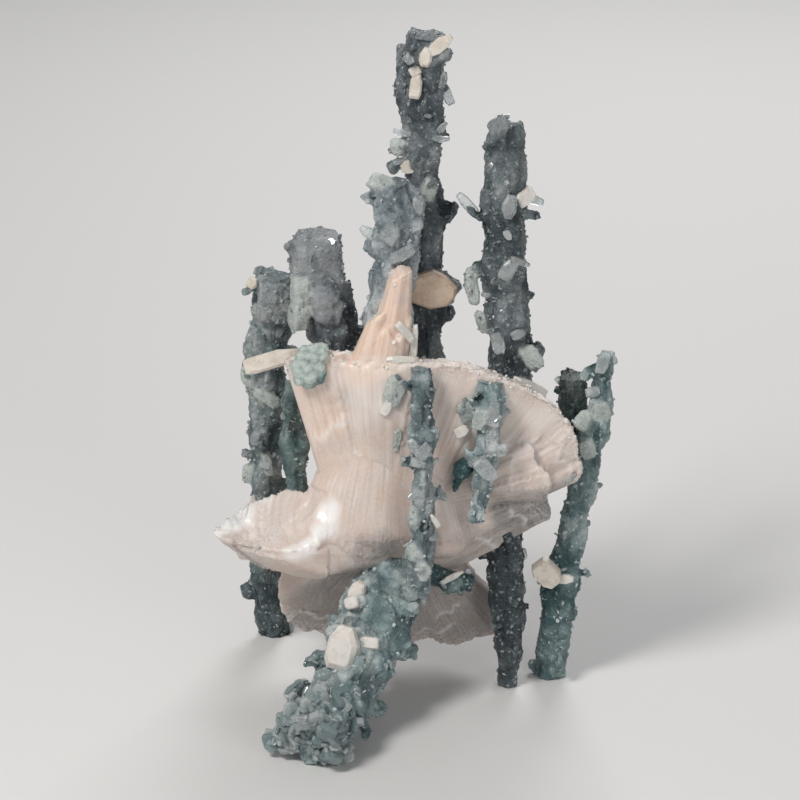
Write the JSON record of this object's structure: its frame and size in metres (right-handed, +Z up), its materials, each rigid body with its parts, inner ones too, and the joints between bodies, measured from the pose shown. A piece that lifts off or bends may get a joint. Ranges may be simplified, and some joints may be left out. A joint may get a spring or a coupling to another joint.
{
  "type": "heulandite specimen",
  "caption": "Zeolite mineral specimen for display: fanned pink crystal sheaves grown round tall stalactites that are coated in grey-green druse, standing on the broken stalactite ends",
  "frame": {"origin": "on the ground, at the middle of the bounding box's underside", "axes": "+Z up along the tall stalactites, -Y towards the viewer of the picture, +X to the viewer's right"},
  "size_m": [0.096, 0.0862, 0.1593],
  "materials": {
    "pink_sheaves": "pearly, finely striated, rough at the tips",
    "grey_druse": "frosted translucent coat of small crystals over a dark core",
    "green_druse": "frosted translucent green coat of small crystals over a dark core"
  },
  "bodies": {
    "root": {"crystal_cluster": "pink_sheaves", "stalactite_tall": "grey_druse", "stalactite_short": "grey_druse", "stalactite_left_upper": "grey_druse", "stalactite_fan_middle": "grey_druse", "stalactite_fan_right": "grey_druse", "stalactite_left_leg": "green_druse", "stalactite_left_stub": "green_druse", "stalactite_rear_leg": "green_druse", "stalactite_right_leg": "green_druse", "stalactite_right_stub": "green_druse", "stalactite_foot": "green_druse", "stalactite_under_stub": "green_druse"}
  },
  "joints": []
}
